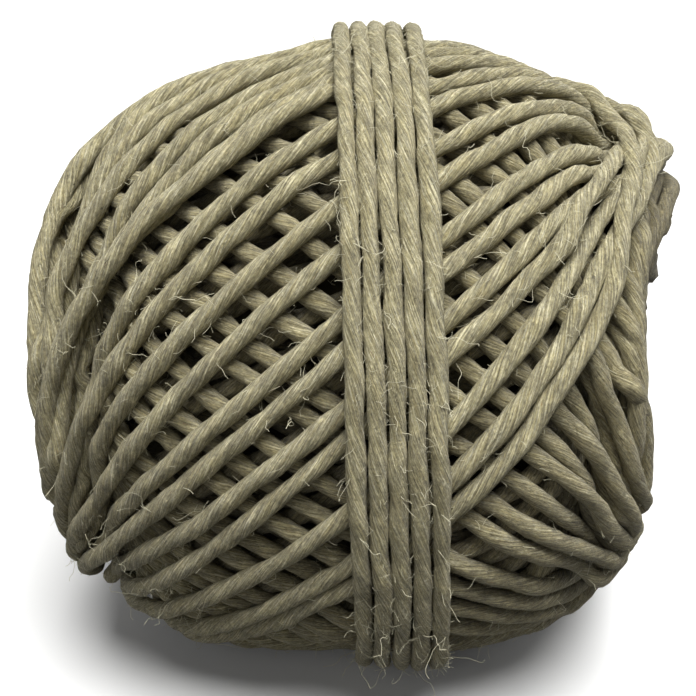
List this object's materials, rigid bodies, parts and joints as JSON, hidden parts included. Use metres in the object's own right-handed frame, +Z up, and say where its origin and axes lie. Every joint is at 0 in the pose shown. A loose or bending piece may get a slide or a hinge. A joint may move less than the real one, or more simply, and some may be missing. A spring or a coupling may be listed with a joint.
{
  "type": "ball of string",
  "caption": "Machine-wound ball of natural bast string, criss-cross wound with a belly band round its middle, resting on a small flat spot.",
  "frame": {"origin": "centre of the bounding box's bottom, on the surface that the ball rests on", "axes": "+Z is up; the belly band runs round the ball nearly in the Y-Z plane; the spindle line on which the ball was wound runs mainly along X, its +X end a little forward (-Y) and up"},
  "size_m": [0.0791, 0.0812, 0.0783],
  "materials": {
    "bast_string": "dull, dry, softly twisted bast fibre with fine stray fibres"
  },
  "bodies": {
    "root": {"string_ball": "bast_string"}
  },
  "joints": []
}
